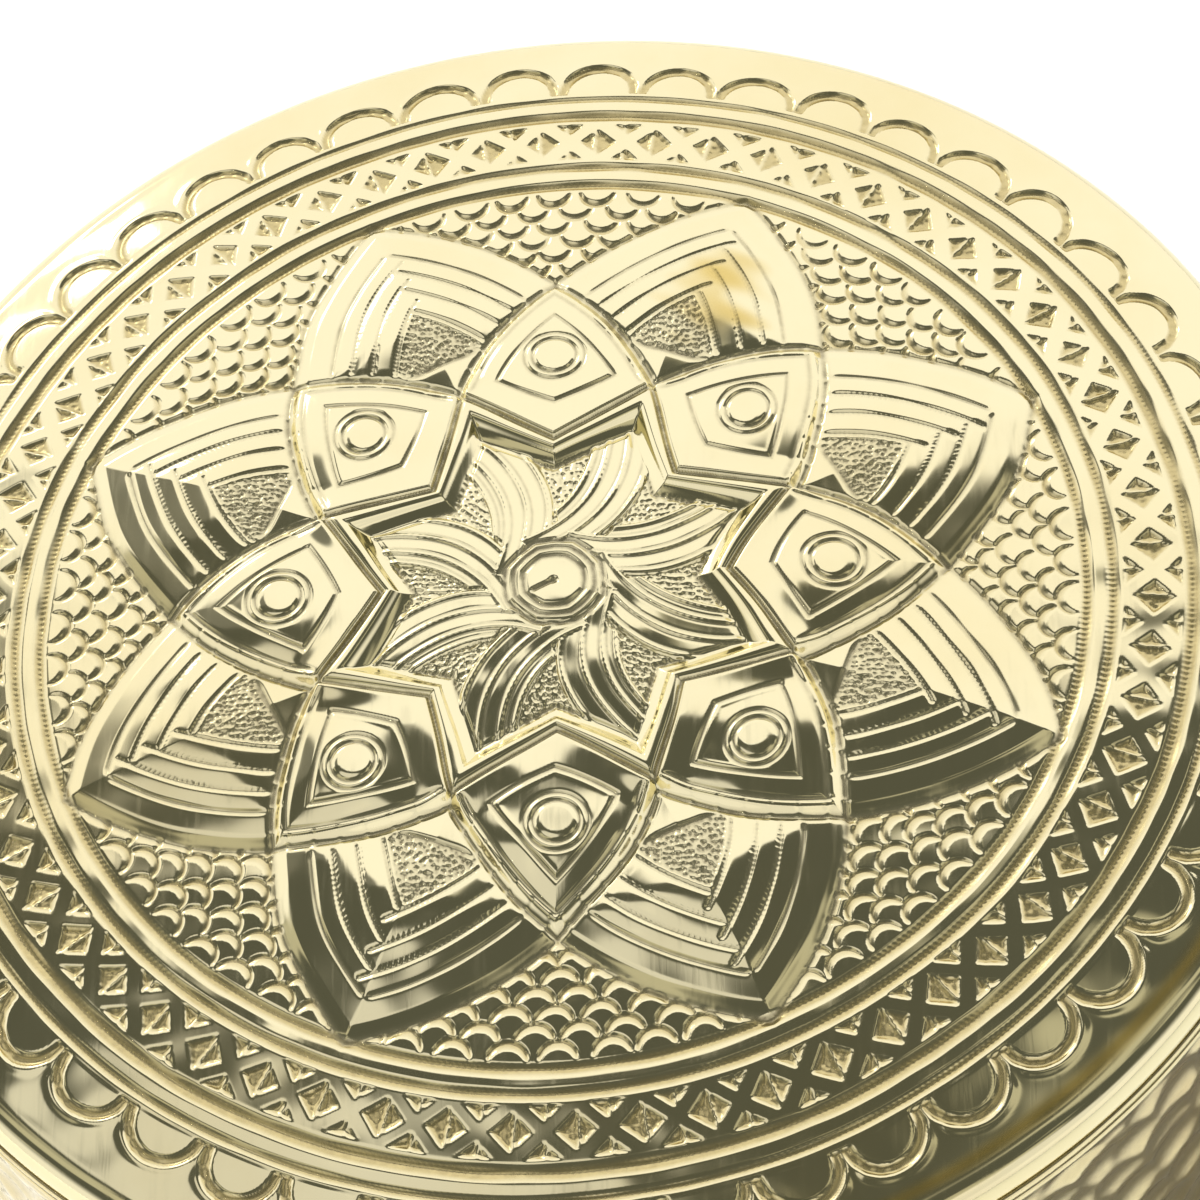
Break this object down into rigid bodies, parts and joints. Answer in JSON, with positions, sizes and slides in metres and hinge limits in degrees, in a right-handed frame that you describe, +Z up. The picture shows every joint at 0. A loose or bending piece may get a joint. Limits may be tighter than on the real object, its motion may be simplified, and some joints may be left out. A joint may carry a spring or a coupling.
{
  "type": "lidded box",
  "caption": "Round brass box with a hammered drum and a lift-off domed lid, raised and chased with a rosette of petals and kites round a sunken star, between beaded rings.",
  "frame": {"origin": "centre of the drum's foot, on the surface that the box stands on", "axes": "+Z up along the drum's axis, +X and +Y through the tips of kites of the rosette"},
  "size_m": [0.2016, 0.2016, 0.0988],
  "materials": {
    "chased_brass": "hand-polished, with tarnish left in the chased lines",
    "hammered_brass": "planished with overlapping hammer marks and polished",
    "wire_brass": "polished wire, dull along the solder lines",
    "inside_brass": "unpolished and evenly tarnished"
  },
  "bodies": {
    "box": {"body_wall": "hammered_brass", "mouth_wire": "wire_brass", "base_plate": "inside_brass", "foot_wire": "wire_brass"},
    "lid": {"lid_cap": "chased_brass", "lid_collar": "inside_brass", "lid_edge_wire": "wire_brass"}
  },
  "joints": [
    {"name": "lid_lift", "type": "slide", "parent": "box", "child": "lid", "axis": [0, 0, 1], "range_m": [0, 0.09]}
  ]
}
